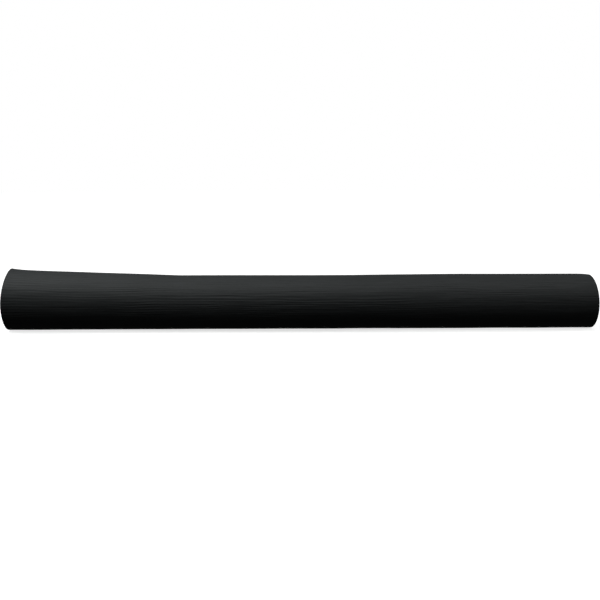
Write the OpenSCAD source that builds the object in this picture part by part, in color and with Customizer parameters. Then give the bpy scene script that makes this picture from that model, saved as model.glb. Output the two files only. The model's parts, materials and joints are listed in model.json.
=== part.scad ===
// A log roll of racket grip tape: one wide laminated sheet wound on a card core tube.
// The roll lies along X and rests on a narrow flat at z = 0. The outer turns have worked
// loose at the -X end, and the sheet's tail runs down the +Y side under two closing tabs.

/* [Roll] */
// Length of the roll, which is the width of the sheet
roll_len = 500; // [400:10:700]
// Facets in one turn of the sheet
facets = 30; // [18:6:42]
// Turns that are still tight on the core
tight_turns = 7; // [5:1:9]
// Turns that have worked loose at one end
loose_turns = 3; // [2:1:4]

/* [Core] */
// Radius of the hole through the core tube
core_bore_r = 10; // [9:0.5:12]
// Wall of the core tube
core_wall = 2; // [1.5:0.25:3]
// How far each end of the core tube sits inside the sheet's edge
core_recess = 1.5; // [0.5:0.5:5]
// Arc of the strip that sticks the sheet to the core, in degrees
strip_arc = 60; // [30:5:120]
// Thickness of that strip
strip_t = 0.2; // [0.1:0.05:0.2]

/* [Sheet] */
// Thickness of the ribbed wear skin
skin_t = 0.27; // [0.2:0.01:0.5]
// Thickness of the foam backing with its adhesive
backing_t = 0.58; // [0.4:0.01:1]
// Thickness of the release liner
liner_t = 0.1; // [0.08:0.01:0.2]
// Air between one turn and the next
turn_gap = 0.05; // [0.02:0.01:0.1]

/* [Loose end] */
// Length of the roll over which the loose turns open
flare_len = 146; // [80:2:200]
// How far the loose turns open, before their lip
flare_rise = 2.6; // [0:0.1:4]
// Extra opening at the lip itself
lip_rise = 0.9; // [0:0.1:1.5]
// Length over which the lip fades out
lip_len = 8; // [4:1:20]

/* [Tail] */
// About where the free tail leaves the roll, in degrees above +Y
tail_root = 108; // [84:12:120]
// Stiff lengths that the bending tail is split into
tail_links = 6; // [3:1:6]
// Facets in each of those lengths
link_facets = 2; // [2:1:2]
// Angle that each line of the tail opens through
link_open = 24; // [12:1:24]
// Air under the tail
tail_gap = 0.3; // [0.2:0.05:0.5]
// Air at each line where the tail bends
link_gap = 0.1; // [0.05:0.05:0.3]

/* [Closing tabs] */
// Width of a closing tab along the roll
tab_w = 24; // [10:1:40]
// Thickness of a closing tab
tab_t = 0.15; // [0.1:0.05:0.3]
// Distance between the two tabs
tab_pitch = 230; // [100:10:280]
// Middle of the pair of tabs, away from the loose end
tab_mid = 55; // [20:5:60]
// Facets of the free half of a tab
tab_facets = 1.5; // [1:0.5:1.5]

/* [Hidden] */
$fn = 96;

step = 360 / facets;
sheet_t = liner_t + backing_t + skin_t;
pitch = sheet_t + turn_gap;
core_r = core_bore_r + core_wall;
wind_r = core_r + 0.3;
split_k = facets * tight_turns;
root_k = split_k + facets * loose_turns;
tail_k = root_k + tail_links * link_facets;
// Heights above the sheet's underside where each layer starts
liner_at = 0;
backing_at = liner_t;
skin_at = liner_t + backing_t;
tab_at = sheet_t;
// The roll stands on one whole facet, so the tail's root goes to the nearest place that allows it
bottom_lines = round((270 - tail_root) / step - 0.5) + 0.5;
root_deg = 270 - bottom_lines * step;
bottom_k = root_k - bottom_lines;
// That facet is pressed flat, and this is the press
settle = 0.1;
axis_z = (wind_r + pitch * bottom_k / facets + sheet_t) * cos(step / 2) - settle;
x_lo = -roll_len / 2;
// Places along the loose end where its shape is set, as parts of its length
flare_stops = [0, 0.03, 0.08, 0.18, 0.36, 0.58, 0.8, 1];
stations = concat([for (u = flare_stops) x_lo + u * flare_len], [roll_len / 2]);

card = "#8a6a45";
strip_white = "#d8d4c8";
liner_white = "#cfcabd";
foam_black = "#1c1d1e";
skin_black = "#26292a";
tab_black = "#121314";

// How far the outermost turn has opened at a place along the roll
function flare(x) =
    let (s = max(0, 1 - (x - x_lo) / flare_len))
    s == 0 ? 0 : flare_rise * s + lip_rise * exp(-(x - x_lo) / lip_len);

// Share of that opening which a turn takes, from none where the turns are tight
function looseness(k) =
    let (u = min(1, max(0, (k - split_k) / (root_k - split_k))))
    pow(u, 1.5);

// Angle above +Y of facet line k, and the sheet's radius there with no opening
function line_angle(k) = root_deg - (k - root_k) * step;
function line_r(k) = wind_r + pitch * k / facets;

// Point of the winding at facet line k and place x, up from the sheet's underside
function wind_point(x, k, up) =
    let (
        a = line_angle(k),
        r = line_r(k) + up + flare(x) * looseness(k) * (1 + sin(a)),
        z = axis_z + r * sin(a)
    )
    [r * cos(a), max(z, 0)];

// Outline of a layer from facet line k0 to k1, seen along X
function layer_outline(x, k0, k1, up, t) = concat(
    [for (k = lines(k0, k1)) wind_point(x, k, up + t)],
    [for (k = lines(k1, k0)) wind_point(x, k, up)]
);

// Facet lines from k0 to k1 in either order, with every whole line between them
function lines(k0, k1) = k0 < k1
    ? concat([k0], [for (k = [floor(k0) + 1 : ceil(k1) - 1]) k], [k1])
    : let (up = lines(k1, k0)) [for (i = [len(up) - 1 : -1 : 0]) up[i]];

// Air that a bending line needs at place x: more where the sheet stands outside the line
function bend_gap(x, k) =
    let (out = flare(x) * (1 + sin(line_angle(k))))
    (link_gap + out * tan(link_open / 2)) / (line_r(k) + out) * facets / (2 * PI);

// A solid through one outline per place, all with the same number of points, upper face first
module loft(xs, outlines) {
    n = len(outlines[0]);
    m = len(xs);
    points = [for (j = [0 : m - 1]) for (p = outlines[j]) [xs[j], p[0], p[1]]];
    // A bent side isn't flat, so each is cut into two triangles. The lower face runs the other way
    // round and is cut along the other diagonal, so that stacked layers meet without a gap
    sides = [
        for (j = [0 : m - 2]) for (i = [0 : n - 1])
            let (a = j * n + i, b = j * n + (i + 1) % n)
            for (face = i < n / 2
                ? [[a, b, b + n], [a, b + n, a + n]]
                : [[a, b, a + n], [b, b + n, a + n]]) face
    ];
    // The ends are cut across the layer, one piece for each facet
    first = [for (i = [0 : n / 2 - 2]) [n - 1 - i, n - 2 - i, i + 1, i]];
    last = [for (i = [0 : n / 2 - 2]) [for (k = [i, i + 1, n - 2 - i, n - 1 - i]) (m - 1) * n + k]];
    polyhedron(points = points, faces = concat(sides, first, last), convexity = 8);
}

// A layer that is the same all along the roll
module straight_layer(k0, k1, up, t, x0, x1) {
    translate([x0, 0, 0])
        rotate([90, 0, 90])
            linear_extrude(height = x1 - x0, convexity = 12)
                polygon(layer_outline(roll_len / 2, k0, k1, up, t));
}

module tight_layer(up, t) {
    straight_layer(0, split_k, up, t, x_lo, -x_lo);
}

module loose_layer(up, t) {
    loft(stations, [
        for (x = stations)
            layer_outline(x, split_k, root_k - bend_gap(x, root_k), up, t)
    ]);
}

// One stiff length of the tail, standing clear of the turn below it
module tail_layer(i, up, t) {
    k0 = root_k + (i - 1) * link_facets;
    k1 = k0 + link_facets;
    loft(stations, [
        for (x = stations)
            let (end = i == tail_links ? 0 : bend_gap(x, k1))
            layer_outline(x, k0 + bend_gap(x, k0), k1 - end, tail_gap + up, t)
    ]);
}

module core_tube() {
    color(card)
        translate([x_lo + core_recess, 0, axis_z])
            rotate([0, 90, 0])
                difference() {
                    cylinder(h = roll_len - 2 * core_recess, r = core_r);
                    translate([0, 0, -1])
                        cylinder(h = roll_len - 2 * core_recess + 2, r = core_bore_r);
                }
}

module start_strip() {
    color(strip_white)
        translate([x_lo + 2 * core_recess, 0, axis_z])
            rotate([90, 0, 90])
                rotate([0, 0, root_deg - strip_arc])
                    rotate_extrude(angle = strip_arc)
                        translate([core_r, 0])
                            square([strip_t, roll_len - 4 * core_recess]);
}

module tight_turns_liner() {
    color(liner_white) tight_layer(liner_at, liner_t);
}

module tight_turns_backing() {
    color(foam_black) tight_layer(backing_at, backing_t);
}

module tight_turns_skin() {
    color(skin_black) tight_layer(skin_at, skin_t);
}

module loose_turns_liner() {
    color(liner_white) loose_layer(liner_at, liner_t);
}

module loose_turns_backing() {
    color(foam_black) loose_layer(backing_at, backing_t);
}

module loose_turns_skin() {
    color(skin_black) loose_layer(skin_at, skin_t);
}

module tail_liner(i) {
    color(liner_white) tail_layer(i, liner_at, liner_t);
}

module tail_backing(i) {
    color(foam_black) tail_layer(i, backing_at, backing_t);
}

module tail_skin(i) {
    color(skin_black) tail_layer(i, skin_at, skin_t);
}

// Half of a closing tab: the base is stuck to the tail, and the free half peels
module tab_half(x, k0, k1) {
    color(tab_black)
        straight_layer(k0, k1, tail_gap + tab_at, tab_t, x - tab_w / 2, x + tab_w / 2);
}

module tab_base(x) {
    tab_half(x, tail_k - 1, tail_k);
}

module tab_free(x) {
    tab_half(x, tail_k + 0.03, tail_k + tab_facets);
}

core_tube();
start_strip();
tight_turns_liner();
tight_turns_backing();
tight_turns_skin();
loose_turns_liner();
loose_turns_backing();
loose_turns_skin();
for (i = [1 : tail_links]) {
    tail_liner(i);
    tail_backing(i);
    tail_skin(i);
}
tab_base(tab_mid - tab_pitch / 2);  // tab_left_base
tab_free(tab_mid - tab_pitch / 2);  // tab_left_free
tab_base(tab_mid + tab_pitch / 2);  // tab_right_base
tab_free(tab_mid + tab_pitch / 2);  // tab_right_free
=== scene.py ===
"""Grip tape roll: a wide ribbed sheet wound on a card core, loose at its -X end.

Lengths are in millimetres until they reach a mesh, which is in metres. A place on the winding is a
facet line k, counted from the sheet's inner end, and a distance x along the roll. The tail leaves
the roll at ROOT_LINE and ends at TAIL_LINE.
"""
import json
import math

import bpy
import numpy as np
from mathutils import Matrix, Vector


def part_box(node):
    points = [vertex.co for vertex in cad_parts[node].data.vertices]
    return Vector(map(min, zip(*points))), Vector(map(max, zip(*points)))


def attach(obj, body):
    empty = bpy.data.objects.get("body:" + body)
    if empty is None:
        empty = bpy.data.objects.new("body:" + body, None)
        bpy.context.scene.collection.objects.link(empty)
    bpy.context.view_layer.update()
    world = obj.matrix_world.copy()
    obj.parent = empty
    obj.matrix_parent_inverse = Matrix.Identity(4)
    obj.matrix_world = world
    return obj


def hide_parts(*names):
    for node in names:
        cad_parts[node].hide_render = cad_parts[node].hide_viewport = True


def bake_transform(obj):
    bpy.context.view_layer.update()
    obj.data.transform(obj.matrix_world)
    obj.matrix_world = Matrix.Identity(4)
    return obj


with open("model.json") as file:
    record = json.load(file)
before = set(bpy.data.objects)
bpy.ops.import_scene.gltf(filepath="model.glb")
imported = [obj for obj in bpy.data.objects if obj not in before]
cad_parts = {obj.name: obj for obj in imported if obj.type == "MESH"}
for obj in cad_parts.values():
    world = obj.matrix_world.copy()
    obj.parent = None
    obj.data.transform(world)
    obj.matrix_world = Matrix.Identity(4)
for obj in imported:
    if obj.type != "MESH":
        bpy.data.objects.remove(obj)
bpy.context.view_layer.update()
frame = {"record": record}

MM = 0.001

# ---------------------------------------------------------------- the winding's own dimensions
FACETS = 30                      # facet lines in a turn
TIGHT_TURNS, LOOSE_TURNS = 7, 3
LINER_T, BACKING_T, SKIN_T = 0.10, 0.58, 0.27
SHEET_T = LINER_T + BACKING_T + SKIN_T
PITCH = SHEET_T + 0.05           # the radius gained in one turn
WIND_CLEARANCE = 0.3             # core's outside to the sheet's underside
FLARE_LEN, FLARE_RISE = 146.0, 2.6
LIP_RISE, LIP_LEN = 0.9, 8.0
TAIL_ROOT_DEG = 108.0
TAIL_LINKS, LINK_LINES = 6, 2
TAIL_GAP = 0.3                   # air under the tail
TAIL_EDGE_LIFT = 0.35            # more of it at the tail's cut edge
TAB_T = 0.15
STRIP_ARC_DEG = 60.0             # the strip between the core and the sheet's inner end
STRIP_BOTTOM, STRIP_TOP = 0.02, 0.19

STEP_DEG = 360.0 / FACETS
SPLIT_LINE = FACETS * TIGHT_TURNS
ROOT_LINE = SPLIT_LINE + FACETS * LOOSE_TURNS
OUTER_LINE = ROOT_LINE - FACETS
TAIL_LINE = ROOT_LINE + TAIL_LINKS * LINK_LINES

core_lo, core_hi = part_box("core_tube")
roll_lo, roll_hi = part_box("tight_turns_skin")
AXIS_Z = (core_lo.z + core_hi.z) / 2 / MM
CORE_R = (core_hi.z - core_lo.z) / 2 / MM
CORE_X0, CORE_X1 = core_lo.x / MM, core_hi.x / MM
X0, X1 = roll_lo.x / MM, roll_hi.x / MM
BORE_R = frame["record"]["mounts"][0]["dims"]["r_mm"]
WIND_R = CORE_R + WIND_CLEARANCE

# ---------------------------------------------------------------- the look of the sheet
RIB_PITCH = 1.9                  # from one crinkle rib to the next, round the roll
RIB_HEIGHT = 0.10                # of a rib above the plain skin
WAIST_DEPTH, WAIST_X, WAIST_LEN = 0.5, 10.0, 75.0
BULGE_HEIGHT, BULGE_LEN = 0.12, 45
# How far the sheet's edge stands back at the loose end: the tight turns, then the outermost one
TIGHT_RECESS, FRONT_RECESS, TOP_RECESS = 2.6, 2.7, 2.1
PINCH_DEPTH, PINCH_LEN = 0.8, 4.0   # the square-cut end is pressed in a little
CARD_PLY = 0.42                  # thickness of one ply of the core board
CARD_SEAM_LEAD, CARD_SEAM_DEPTH = 62, 0.16   # the board's seam winds along the tube
CARD_ROUND, CARD_ROUND_LEN = 0.25, 0.5       # and its ends are worn round
# Mesh lines along the roll and for each facet line round it: the ribbed face, other faces that
# show, the loose turns under them, and the tight turns
RIBBED_MESH, OPEN_MESH, LOOSE_MESH, TIGHT_MESH = (150, 12), (150, 5), (150, 3), (40, 3)


# ================================================================ noise and small helpers
def smooth(t):
    t = np.clip(t, 0.0, 1.0)
    return t * t * (3 - 2 * t)


def noise(u, v, seed):
    """Smooth noise from -1 to 1, with one feature for each unit of u and v."""
    table = np.random.default_rng(seed).uniform(-1, 1, (128, 128))
    u, v = np.broadcast_arrays(np.asarray(u, float), np.asarray(v, float))
    iu, iv = np.floor(u).astype(int), np.floor(v).astype(int)
    fu, fv = smooth(u - iu), smooth(v - iv)
    a, b = table[iu % 128, iv % 128], table[(iu + 1) % 128, iv % 128]
    c, d = table[iu % 128, (iv + 1) % 128], table[(iu + 1) % 128, (iv + 1) % 128]
    return (a * (1 - fu) + b * fu) * (1 - fv) + (c * (1 - fu) + d * fu) * fv


# ================================================================ the winding
def line_angle(k):
    return np.radians(TAIL_ROOT_DEG - (k - ROOT_LINE) * STEP_DEG)


def line_radius(k):
    return WIND_R + PITCH * k / FACETS


def arc_length(k):
    """Length of sheet from its inner end to line k."""
    return 2 * math.pi / FACETS * (WIND_R * k + PITCH * k * k / (2 * FACETS))


def flare(x):
    """How far the outermost turn has opened at x."""
    part = np.clip(1 - (x - X0) / FLARE_LEN, 0, 1)
    return FLARE_RISE * part + LIP_RISE * np.exp(-(x - X0) / LIP_LEN) * (part > 0)


def looseness(k):
    return np.clip((k - SPLIT_LINE) / (ROOT_LINE - SPLIT_LINE), 0, 1) ** 1.5


def swell(x, k):
    """Slow unevenness of the whole roll: a shallow waist and a few soft bulges, with a flat underside."""
    a = line_angle(k)
    waist = -WAIST_DEPTH * np.exp(-((x - WAIST_X) / WAIST_LEN) ** 2)
    pinch = -PINCH_DEPTH * np.exp(-(X1 - x) / PINCH_LEN) * looseness(k)
    # The same on every turn, so that a bulge never reaches the next one
    bulges = BULGE_HEIGHT * noise(x / BULGE_LEN + 7, 3 + 1.4 * np.cos(a) + 0.6 * np.sin(a), 11)
    return (waist + pinch + bulges) * (1 + np.sin(a)) / 2


def ribs(x, k):
    """Height of the skin's lengthwise ribs, which wander, fade and run into each other.

    They are pressed flatter where the tail leaves the turn below it.
    """
    s = arc_length(k)
    wander = 1.3 * noise(s / 9, x / 60, 1) + 0.5 * noise(s / 4, x / 20, 2)
    strength = 0.6 + 0.4 * noise(s / 6, x / 34, 3)
    waves = strength * np.cos(2 * math.pi * (s + wander) / RIB_PITCH)
    creases = 0.7 * noise(s / 1.7, x / 28, 4)
    pressed = 0.4 + 0.6 * smooth((k - OUTER_LINE - 3) / 3)
    return RIB_HEIGHT * (waves + creases) * pressed


def tail_lift(k):
    """Air under the tail, which grows from its root and opens a little more at its cut edge."""
    root = TAIL_GAP * smooth((k - ROOT_LINE + 1) / 4)
    edge = TAIL_EDGE_LIFT * smooth((k - TAIL_LINE + 1.5) / 1.5)
    return root + edge


def winding_point(x, k, up):
    """Y and Z of the winding, up from the sheet's underside, in millimetres."""
    a = line_angle(k)
    opened = flare(x) * looseness(k) * (1 + np.sin(a))
    r = line_radius(k) + up + opened + swell(x, k) + tail_lift(k)
    return r * np.cos(a), np.maximum(AXIS_Z + r * np.sin(a), 0.0)


def edge_shift(k, end):
    """How far the sheet's edge stands back at end 0 (loose) or 1: its turns have slid over each other."""
    turn = noise(k / 17, 0.5, 21 + end) * 0.35
    if end == 1:
        return 0.1 + 0.5 * abs(turn)
    a = line_angle(k)
    front = FRONT_RECESS * np.maximum(0, -np.cos(a)) ** 0.8
    top = TOP_RECESS * np.maximum(0, np.sin(a)) ** 1.5
    loose = looseness(k)
    return TIGHT_RECESS * (1 - loose) + (front + top + 0.3) * loose + turn * 0.6


# ================================================================ meshes
def make_object(name, verts, faces, smooth_faces, material, uvs, normals=None):
    """A mesh object from points in millimetres. uvs holds one pair for each vertex, in metres of sheet.

    Normals, one for each vertex, are used on smooth faces, so that neighbouring pieces shade as one.
    """
    mesh = bpy.data.meshes.new(name)
    mesh.from_pydata((np.asarray(verts) * MM).tolist(), [], faces)
    mesh.polygons.foreach_set("use_smooth", smooth_faces)
    loops = np.zeros(len(mesh.loops), int)
    mesh.loops.foreach_get("vertex_index", loops)
    layer = mesh.uv_layers.new(name="sheet")
    layer.data.foreach_set("uv", np.asarray(uvs, np.float32)[loops].ravel())
    mesh.materials.append(material)
    if normals is not None:
        flat = np.zeros(len(mesh.polygons) * 3)
        mesh.polygons.foreach_get("normal", flat)
        per_corner = np.where(np.repeat(smooth_faces, 4)[:, None], normals[loops],
                              np.repeat(flat.reshape(-1, 3), 4, axis=0))
        mesh.normals_split_custom_set(per_corner.tolist())
    obj = bpy.data.objects.new(name, mesh)
    bpy.context.scene.collection.objects.link(obj)
    return obj


def grid_normals(points):
    """Unit normals of a grid of points, on the side that faces outwards for an outer face."""
    across = np.cross(np.gradient(points, axis=0), np.gradient(points, axis=1))
    return across / np.linalg.norm(across, axis=2, keepdims=True)


def slab(name, top, bottom, uv, material, spare=0):
    """A closed thin solid between two grids of points, each rows x columns x 3.

    The first and last rows given as spare only steer the normals of the rows next to them.
    """
    normals = [grid_normals(top), -grid_normals(bottom)]
    keep = slice(spare, len(top) - spare)
    top, bottom, uv = top[keep], bottom[keep], uv[keep]
    normals = np.concatenate([n[keep].reshape(-1, 3) for n in normals])
    rows, cols = top.shape[:2]
    n = rows * cols
    index = np.arange(n).reshape(rows, cols)
    a, b = index[:-1, :-1].ravel(), index[1:, :-1].ravel()
    c, d = index[1:, 1:].ravel(), index[:-1, 1:].ravel()
    upper = np.stack([a, b, c, d], 1)
    lower = np.stack([d, c, b, a], 1) + n
    rim = np.concatenate([index[0, :-1], index[:-1, -1], index[-1, :0:-1], index[:0:-1, 0]])
    after = np.roll(rim, -1)
    walls = np.stack([rim, after, after + n, rim + n], 1)
    faces = np.concatenate([upper, lower, walls])
    flags = [True] * (2 * len(upper)) + [False] * len(walls)
    verts = np.concatenate([top.reshape(-1, 3), bottom.reshape(-1, 3)])
    uvs = np.concatenate([uv.reshape(-1, 2)] * 2)
    return make_object(name, verts, faces.tolist(), flags, material, uvs, normals)


def along_stops(count):
    """Shares of the roll's length from 0 to 1, closer together at the loose end's lip."""
    t = np.linspace(0, 1, count)
    return t - 0.55 * (t * (1 - t) ** 3)


def layer_piece(name, k0, k1, up, thick, material, detail, ribbed=False):
    """One layer of the sheet from line k0 to k1, as a closed solid."""
    along, per_line = detail
    rows = max(2, int(round((k1 - k0) * per_line)) + 1)
    step = (k1 - k0) / (rows - 1)
    k = np.linspace(k0 - step, k1 + step, rows + 2)[:, None]
    t = along_stops(along)[None, :]
    left, right = X0 + edge_shift(k, 0), X1 - edge_shift(k, 1)
    x = left + (right - left) * t
    kk = np.broadcast_to(k, x.shape)
    relief = ribs(x, kk) if ribbed else 0.0
    grids = []
    for height in (up + thick + relief, up + 0 * x):
        y, z = winding_point(x, kk, height)
        grids.append(np.stack([x, y, z], 2))
    uv = np.stack([arc_length(kk), x], 2) * MM
    return slab(name, grids[0], grids[1], uv, material, spare=1)


def tail_point(k, up=0.0):
    """A point of the tail at mid-length, in metres."""
    y, z = winding_point(0.0, float(k), up)
    return (0.0, float(y) * MM, float(z) * MM)


# ================================================================ materials
class Nodes:
    """A material's node tree, with short names for what this scene adds to it."""

    def __init__(self, name):
        self.material = bpy.data.materials.new(name)
        self.material.use_nodes = True
        self.tree = self.material.node_tree
        self.shader = self.tree.nodes["Principled BSDF"]

    def add(self, kind, **values):
        node = self.tree.nodes.new(kind)
        for key, value in values.items():
            setattr(node, key, value)
        return node

    def link(self, source, target):
        self.tree.links.new(source, target)

    def set(self, **values):
        for key, value in values.items():
            self.shader.inputs[key.replace("_", " ")].default_value = value

    def coords(self, uv=True, scale=(1, 1, 1)):
        where = self.add("ShaderNodeTexCoord")
        mapping = self.add("ShaderNodeMapping")
        mapping.inputs["Scale"].default_value = scale
        self.link(where.outputs["UV" if uv else "Object"], mapping.inputs["Vector"])
        return mapping.outputs["Vector"]

    def noise(self, vector, scale, detail=3.0, roughness=0.55):
        node = self.add("ShaderNodeTexNoise")
        node.inputs["Scale"].default_value = scale
        node.inputs["Detail"].default_value = detail
        node.inputs["Roughness"].default_value = roughness
        self.link(vector, node.inputs["Vector"])
        return node.outputs["Fac"]

    def ramp(self, factor, low, high, start=0.3, stop=0.7):
        node = self.add("ShaderNodeValToRGB")
        node.color_ramp.elements[0].position = start
        node.color_ramp.elements[1].position = stop
        node.color_ramp.elements[0].color = (*low, 1)
        node.color_ramp.elements[1].color = (*high, 1)
        self.link(factor, node.inputs["Fac"])
        return node.outputs["Color"]

    def spread(self, factor, low, high):
        node = self.add("ShaderNodeMapRange")
        node.inputs["To Min"].default_value = low
        node.inputs["To Max"].default_value = high
        self.link(factor, node.inputs["Value"])
        return node.outputs["Result"]

    def multiplied(self, one, other):
        """The product of two colours."""
        node = self.add("ShaderNodeMix", data_type="RGBA", blend_type="MULTIPLY")
        node.inputs[0].default_value = 1.0
        self.link(one, node.inputs[6])
        self.link(other, node.inputs[7])
        return node.outputs[2]

    def scaled(self, value, times):
        node = self.add("ShaderNodeMath", operation="MULTIPLY")
        self.link(value, node.inputs[0])
        node.inputs[1].default_value = times
        return node.outputs[0]

    def bump(self, height, distance, strength=1.0, under=None):
        node = self.add("ShaderNodeBump")
        node.inputs["Distance"].default_value = distance
        node.inputs["Strength"].default_value = strength
        self.link(height, node.inputs["Height"])
        if under is not None:
            self.link(under, node.inputs["Normal"])
        return node.outputs["Normal"]


def skin_material():
    """Matt charcoal skin: fine ribs over the modelled ones, a soft grain, and painted shade in the fine
    ribs' valleys.
    """
    m = Nodes("ribbed_skin")
    fine = m.noise(m.coords(scale=(1, 0.03, 1)), 1150, 2.0, 0.6)
    broad = m.noise(m.coords(scale=(1, 0.12, 1)), 60, 3.0)
    grain = m.noise(m.coords(uv=False), 5200, 2.0)
    tone = m.ramp(broad, (0.032, 0.0360, 0.0370), (0.042, 0.0460, 0.0465))
    # Painted shade: the skin is darker in the valleys of the fine ribs, following the same noise as their
    # bump
    rib_valley_shade = m.ramp(fine, (0.74, 0.74, 0.74), (1, 1, 1), 0.38, 0.62)
    m.link(m.multiplied(tone, rib_valley_shade), m.shader.inputs["Base Color"])
    m.link(m.spread(fine, 0.56, 0.70), m.shader.inputs["Roughness"])
    m.set(Specular_IOR_Level=0.35, Sheen_Weight=0.04, Sheen_Roughness=0.5)
    low = m.bump(grain, 0.00002, 0.6)
    m.link(m.bump(fine, 0.00015, 0.9, under=low), m.shader.inputs["Normal"])
    return m.material


def foam_material():
    """Black closed-cell foam with small open cells on its cut edge."""
    m = Nodes("foam_backing")
    cells = m.add("ShaderNodeTexVoronoi")
    cells.inputs["Scale"].default_value = 3600
    m.link(m.coords(uv=False), cells.inputs["Vector"])
    tone = m.noise(m.coords(uv=False), 260)
    m.link(m.ramp(tone, (0.018, 0.019, 0.020), (0.030, 0.031, 0.032)), m.shader.inputs["Base Color"])
    m.link(m.spread(tone, 0.82, 0.95), m.shader.inputs["Roughness"])
    m.set(Specular_IOR_Level=0.2)
    m.link(m.bump(cells.outputs["Distance"], 0.00008, 0.7), m.shader.inputs["Normal"])
    return m.material


def liner_material():
    """Smooth off-white release paper with a faint fibre."""
    m = Nodes("liner_paper")
    fibre = m.noise(m.coords(scale=(1, 0.3, 1)), 900, 4.0)
    m.link(m.ramp(fibre, (0.60, 0.58, 0.52), (0.72, 0.70, 0.65)), m.shader.inputs["Base Color"])
    m.link(m.spread(fibre, 0.38, 0.52), m.shader.inputs["Roughness"])
    m.set(Coat_Weight=0.15, Coat_Roughness=0.3)
    m.link(m.bump(fibre, 0.00002, 0.5), m.shader.inputs["Normal"])
    return m.material


def card_material():
    """Brown core board: specks, short fibres, and dark glue lines between its plies on the cut ends."""
    m = Nodes("core_card")
    fibre = m.noise(m.coords(uv=False, scale=(0.35, 1, 1)), 900, 5.0)
    speck = m.noise(m.coords(uv=False), 2600, 3.0)
    across = m.add("ShaderNodeVectorMath", operation="MULTIPLY")
    across.inputs[1].default_value = (0, 1, 1)
    centred = m.add("ShaderNodeVectorMath", operation="SUBTRACT")
    centred.inputs[1].default_value = (0, 0, AXIS_Z * MM)
    m.link(m.coords(uv=False), centred.inputs[0])
    m.link(centred.outputs["Vector"], across.inputs[0])
    radius = m.add("ShaderNodeVectorMath", operation="LENGTH")
    m.link(across.outputs["Vector"], radius.inputs[0])
    plies = m.add("ShaderNodeMath", operation="PINGPONG")
    m.link(radius.outputs["Value"], plies.inputs[0])
    plies.inputs[1].default_value = CARD_PLY * MM / 2
    glue = m.ramp(m.scaled(plies.outputs[0], 2000 / CARD_PLY), (0.62, 0.58, 0.55), (1, 1, 1), 0.0, 0.35)
    tone = m.add("ShaderNodeMath", operation="ADD")
    m.link(fibre, tone.inputs[0])
    m.link(m.spread(speck, -0.10, 0.10), tone.inputs[1])
    card = m.ramp(tone.outputs[0], (0.25, 0.165, 0.095), (0.40, 0.285, 0.175))
    m.link(m.multiplied(card, glue), m.shader.inputs["Base Color"])
    m.link(m.spread(fibre, 0.78, 0.94), m.shader.inputs["Roughness"])
    m.set(Specular_IOR_Level=0.25)
    m.link(m.bump(fibre, 0.00006, 0.7), m.shader.inputs["Normal"])
    return m.material


def strip_material():
    """Double-sided tissue tape."""
    m = Nodes("strip_film")
    tissue = m.noise(m.coords(uv=False), 1400, 4.0)
    m.link(m.ramp(tissue, (0.55, 0.53, 0.46), (0.70, 0.68, 0.60)), m.shader.inputs["Base Color"])
    m.link(m.spread(tissue, 0.35, 0.55), m.shader.inputs["Roughness"])
    m.link(m.bump(tissue, 0.00003, 0.5), m.shader.inputs["Normal"])
    return m.material


def tape_material():
    """Matt black closing tape with a faint crepe across it."""
    m = Nodes("closing_tape")
    crepe = m.noise(m.coords(scale=(1, 0.1, 1)), 1600, 3.0)
    m.link(m.ramp(crepe, (0.012, 0.012, 0.013), (0.022, 0.022, 0.024)), m.shader.inputs["Base Color"])
    m.link(m.spread(crepe, 0.54, 0.66), m.shader.inputs["Roughness"])
    m.set(Specular_IOR_Level=0.3)
    m.link(m.bump(crepe, 0.00004, 0.6), m.shader.inputs["Normal"])
    return m.material


# ================================================================ the pieces
SKIN, FOAM, PAPER = skin_material(), foam_material(), liner_material()
LAYERS = [
    # name, slot, height above the sheet's underside, thickness, material, is it the ribbed face
    ("skin", "ribbed_skin", LINER_T + BACKING_T, SKIN_T, SKIN, True),
    ("backing", "foam_backing", LINER_T, BACKING_T, FOAM, False),
    ("liner", "liner_paper", 0.0, LINER_T, PAPER, False),
]


def wound_pieces(tails):
    """The turns on the core: tight ones, loose ones, and the outermost one, which shows."""
    stretches = [
        ("tight_turns", 0, SPLIT_LINE, TIGHT_MESH, "tight_turns"),
        ("loose_turns", SPLIT_LINE, OUTER_LINE, LOOSE_MESH, "loose_turns"),
        ("outer_turn", OUTER_LINE, ROOT_LINE - LINK_LINES / 2, OPEN_MESH, "loose_turns"),
    ]
    for label, k0, k1, detail, node in stretches:
        outer = label == "outer_turn"
        for layer, slot, up, thick, material, ribbed in LAYERS:
            shows = outer and ribbed
            mesh_lines = RIBBED_MESH if shows else detail
            obj = layer_piece(f"{label}_{layer}", k0, k1, up, thick, material, mesh_lines, shows)
            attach(obj, "roll")
            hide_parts(f"{node}_{layer}")


def tail_pieces():
    """The tail, in one piece for each hinge line, cut half-way between the lines."""
    made = {layer: [] for layer, *_ in LAYERS}
    for i in range(1, TAIL_LINKS + 1):
        hinge = ROOT_LINE + (i - 1) * LINK_LINES
        k0, k1 = hinge - LINK_LINES / 2, hinge + LINK_LINES / 2
        for layer, slot, up, thick, material, ribbed in LAYERS:
            detail = RIBBED_MESH if ribbed else OPEN_MESH
            obj = layer_piece(f"tail_bend_{i}_{layer}", k0, k1, up, thick, material, detail, ribbed)
            tail_point(k0)
            tail_point(k1)
            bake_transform(obj)
            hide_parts(f"tail_{layer}_{i}")
            made[layer].append(obj)
    for layer, slot, up, thick, material, ribbed in LAYERS:
        k0 = TAIL_LINE - LINK_LINES / 2
        detail = RIBBED_MESH if ribbed else OPEN_MESH
        obj = layer_piece(f"tail_end_{layer}", k0, TAIL_LINE, up, thick, material, detail, ribbed)
        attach(obj, f"tail_{TAIL_LINKS}")
        made[layer].append(obj)
    return made


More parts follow.
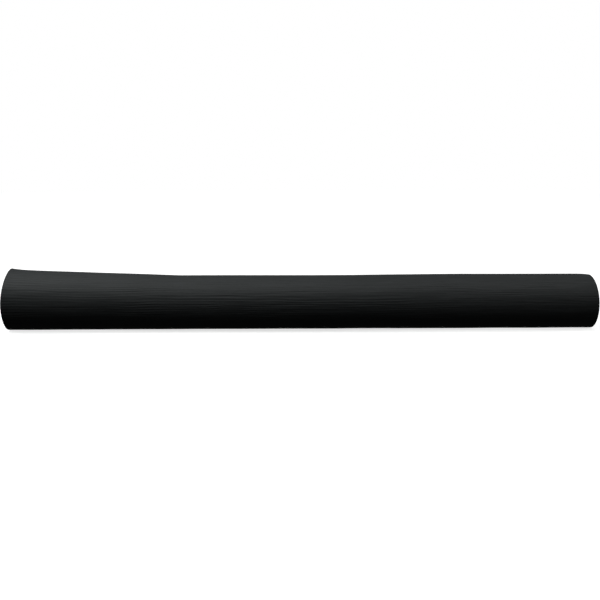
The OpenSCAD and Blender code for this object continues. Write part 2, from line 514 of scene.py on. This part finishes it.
def tab_piece(side):
    """A closing tab: stuck to the tail, then down over its cut edge and on to the turn below."""
    lo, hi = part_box(f"tab_{side}_base")
    x0, x1 = lo.x / MM, hi.x / MM
    k = np.linspace(TAIL_LINE - 1, TAIL_LINE + 1.5, 60)[:, None]
    x = np.linspace(x0, x1, 26)[None, :] + 0 * k
    kk = np.broadcast_to(k, x.shape)
    on_tail = SHEET_T + RIB_HEIGHT
    on_turn = SHEET_T - PITCH + RIB_HEIGHT
    drop = smooth((kk - TAIL_LINE - 0.02) / 0.55)
    lift = tail_lift(np.minimum(kk, TAIL_LINE))
    up = (on_tail + lift) * (1 - drop) + on_turn * drop - tail_lift(kk)
    crepe = 0.02 * noise(kk * 9, x / 8, 31)
    grids = []
    for height in (up + TAB_T + crepe, up + crepe):
        y, z = winding_point(x, kk, height)
        grids.append(np.stack([x, y, z], 2))
    uv = np.stack([arc_length(kk), x], 2) * MM
    obj = slab(f"closing_tab_{side}", grids[0], grids[1], uv, TAPE)
    tail_point(TAIL_LINE - 0.1, SHEET_T)
    tail_point(TAIL_LINE + 0.35, SHEET_T)
    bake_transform(obj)
    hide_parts(f"tab_{side}_base", f"tab_{side}_free")


def core_piece():
    """Spiral-wound board tube, with a shallow step at its seam and slightly worn ends."""
    around, along = 120, 260
    a = np.linspace(0, 2 * math.pi, around, endpoint=False)[None, :]
    ends = np.array([0, 0.15, 0.5, 1.2])
    middle = np.linspace(CORE_X0 + 3, CORE_X1 - 3, along)
    x = np.concatenate([CORE_X0 + ends, middle, CORE_X1 - ends[::-1]])[:, None]
    to_end = np.minimum(x - CORE_X0, CORE_X1 - x)
    round_over = CARD_ROUND * np.maximum(0, 1 - to_end / CARD_ROUND_LEN) ** 2
    seam = (x / CARD_SEAM_LEAD + a / (2 * math.pi)) % 1.0
    groove = CARD_SEAM_DEPTH * np.exp(-((seam - 0.5) / 0.012) ** 2)
    outer = CORE_R - round_over - groove + 0 * a
    inner = BORE_R + round_over + groove * 0.8 + 0 * a
    grids = [np.stack([x + 0 * a, r * np.cos(a), AXIS_Z + r * np.sin(a)], 2) for r in (outer, inner)]
    rows, cols = grids[0].shape[:2]
    n = rows * cols
    index = np.arange(n).reshape(rows, cols)
    turn = np.roll(index, -1, axis=1)
    a0, b0, c0, d0 = index[:-1], index[1:], turn[1:], turn[:-1]
    out_faces = np.stack([a0.ravel(), d0.ravel(), c0.ravel(), b0.ravel()], 1)
    in_faces = out_faces[:, ::-1] + n
    near = np.stack([index[0], index[0] + n, turn[0] + n, turn[0]], 1)
    far = np.stack([index[-1], turn[-1], turn[-1] + n, index[-1] + n], 1)
    faces = np.concatenate([out_faces, in_faces, near, far])
    flags = [True] * (2 * len(out_faces)) + [False] * (len(near) + len(far))
    verts = np.concatenate([g.reshape(-1, 3) for g in grids])
    uv = np.concatenate([np.stack([(a * r).ravel(), (x + 0 * a).ravel()], 1) for r in (outer, inner)]) * MM
    obj = make_object("core_board", verts, faces.tolist(), flags, card_material(), uv)
    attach(obj, "roll")
    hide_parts("core_tube")


def strip_piece():
    """The strip between the core and the sheet's inner end."""
    lo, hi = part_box("start_strip")
    a = np.radians(np.linspace(TAIL_ROOT_DEG - STRIP_ARC_DEG, TAIL_ROOT_DEG, 24))[:, None]
    x = np.linspace(lo.x / MM, hi.x / MM, 60)[None, :]
    grids = []
    for r in (CORE_R + STRIP_TOP, CORE_R + STRIP_BOTTOM):
        wrinkle = 0.01 * noise(np.degrees(a) / 9, x / 12, 41)
        rr = r + wrinkle
        grids.append(np.stack([x + 0 * a, rr * np.cos(a), AXIS_Z + rr * np.sin(a)], 2)[::-1])
    uv = np.stack([a * CORE_R + 0 * x, x + 0 * a], 2) * MM
    obj = slab("start_tape", grids[0], grids[1], uv, strip_material())
    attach(obj, "roll")
    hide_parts("start_strip")


TAPE = tape_material()
wound_pieces(tail_pieces())
tab_piece("left")
tab_piece("right")
core_piece()
strip_piece()


# ================================================================ the studio
def floor_material():
    """Pale floor with a painted glow, weaker under the roll and brightening into the backdrop away from
    it.
    """
    m = Nodes("studio_floor")
    mottle = m.noise(m.coords(uv=False), 6, 2.0)
    m.link(m.ramp(mottle, (0.86, 0.86, 0.86), (0.88, 0.88, 0.88)), m.shader.inputs["Base Color"])
    m.set(Roughness=0.9, Specular_IOR_Level=0.1, Emission_Color=(1, 1, 1, 1))
    # Painted light: the floor glows at 0.7 under the roll, where a faint contact shadow stays, rising to
    # 1.0 further out
    floor_glow_falloff = m.add("ShaderNodeTexGradient", gradient_type="QUADRATIC_SPHERE")
    m.link(m.coords(uv=False, scale=(0.55, 0.55, 0.55)), floor_glow_falloff.inputs["Vector"])
    m.link(m.spread(floor_glow_falloff.outputs["Fac"], 1.0, 0.7), m.shader.inputs["Emission Strength"])
    return m.material


def dome_material():
    """Even white all round, as bright as the far floor."""
    m = Nodes("studio_dome")
    m.set(Base_Color=(0, 0, 0, 1), Specular_IOR_Level=0.0)
    m.set(Emission_Color=(1, 1, 1, 1), Emission_Strength=1.0)
    return m.material


def stage_object(name, mesh, material):
    """A part of the studio that is seen and takes shadows, but throws no light back on the roll."""
    mesh.materials.append(material)
    obj = bpy.data.objects.new(name, mesh)
    bpy.context.scene.collection.objects.link(obj)
    for ray in ("diffuse", "glossy", "transmission", "volume_scatter"):
        setattr(obj, f"visible_{ray}", False)
    obj.visible_shadow = False


def studio_floor():
    """A round pale floor inside a pale dome, so that the ground runs into the background on every side."""
    radius, segments, rings = 6.0, 64, 16
    turns = [2 * math.pi * i / segments for i in range(segments)]
    ring = [(radius * math.cos(a), radius * math.sin(a), 0.0) for a in turns]
    floor = bpy.data.meshes.new("studio_floor")
    floor.from_pydata(ring, [], [tuple(range(segments))])
    stage_object("studio_floor", floor, floor_material())

    verts, faces = [], []
    for j in range(rings):
        up = math.pi / 2 * j / rings
        r, z = (radius - 0.01) * math.cos(up), (radius - 0.01) * math.sin(up)
        verts += [(r * math.cos(a), r * math.sin(a), z) for a in turns]
    verts.append((0, 0, radius))
    for j in range(rings - 1):
        for i in range(segments):
            a, b = j * segments + i, j * segments + (i + 1) % segments
            faces.append((a, b, b + segments, a + segments))
    last = (rings - 1) * segments
    faces += [(last + i, last + (i + 1) % segments, len(verts) - 1) for i in range(segments)]
    dome = bpy.data.meshes.new("studio_dome")
    dome.from_pydata(verts, [], faces)
    stage_object("studio_dome", dome, dome_material())


def area_light(name, place, size, power, tint=(1.0, 1.0, 1.0)):
    """A soft rectangular lamp aimed at the middle of the roll."""
    light = bpy.data.lights.new(name, "AREA")
    light.shape = "RECTANGLE"
    light.size, light.size_y = size
    light.energy = power
    light.color = tint
    obj = bpy.data.objects.new(name, light)
    bpy.context.scene.collection.objects.link(obj)
    obj.location = place
    obj.visible_camera = False
    aim(obj, (0, 0, AXIS_Z * MM))


def aim(obj, target):
    """Turns a lamp or the camera, already in its place, to face a point."""
    back = Vector(obj.location) - Vector(target)
    obj.rotation_mode = "QUATERNION"
    obj.rotation_quaternion = back.to_track_quat("Z", "Y")


def studio_lights():
    area_light("overhead", (-0.15, -0.20, 1.45), (2.2, 1.2), 12, (0.99, 1.0, 1.0))
    area_light("left_key", (-0.62, -0.28, 0.72), (0.5, 0.5), 2.2, (0.96, 1.0, 1.0))
    # Stands for what a pale floor throws back on the side away from the camera
    area_light("floor_bounce", (0.0, 1.2, -0.40), (1.6, 0.5), 11)
    for side, label in ((-1, "left"), (1, "right")):
        area_light(f"end_fill_{label}", (side * 1.3, 0.25, 0.30), (0.5, 0.4), 3.0)


def studio_world():
    """A very faint even light, so that the ends and the underside are never quite black."""
    world = bpy.data.worlds.new("studio")
    bpy.context.scene.world = world
    world.use_nodes = True
    background = world.node_tree.nodes["Background"]
    background.inputs["Color"].default_value = (1, 1, 1, 1)
    background.inputs["Strength"].default_value = 0.018


def studio_camera():
    """Level with the photograph: nearly side on, a little above, close enough to see both rims bulge."""
    half_view = math.radians(22.6)
    distance, elevation, roll = 0.6235, math.radians(9.8), math.radians(-0.24)
    camera = bpy.data.cameras.new("camera")
    camera.shift_y = -0.1
    camera.sensor_width = 36.0
    camera.lens = camera.sensor_width / 2 / math.tan(half_view)
    camera.clip_start = 0.01
    obj = bpy.data.objects.new("camera", camera)
    bpy.context.scene.collection.objects.link(obj)
    centre = (0.0011, 0.0, 0.0243)
    back, up = distance * math.cos(elevation), distance * math.sin(elevation)
    obj.location = (centre[0], centre[1] - back, centre[2] + up)
    above = distance * camera.shift_y * camera.sensor_width / camera.lens
    aim(obj, (centre[0], centre[1], centre[2] - above))
    obj.rotation_mode = "XYZ"
    obj.rotation_euler.rotate_axis("Z", roll)
    bpy.context.scene.camera = obj


studio_floor()
studio_lights()
studio_world()
studio_camera()
bpy.context.scene.view_settings.view_transform = "Standard"
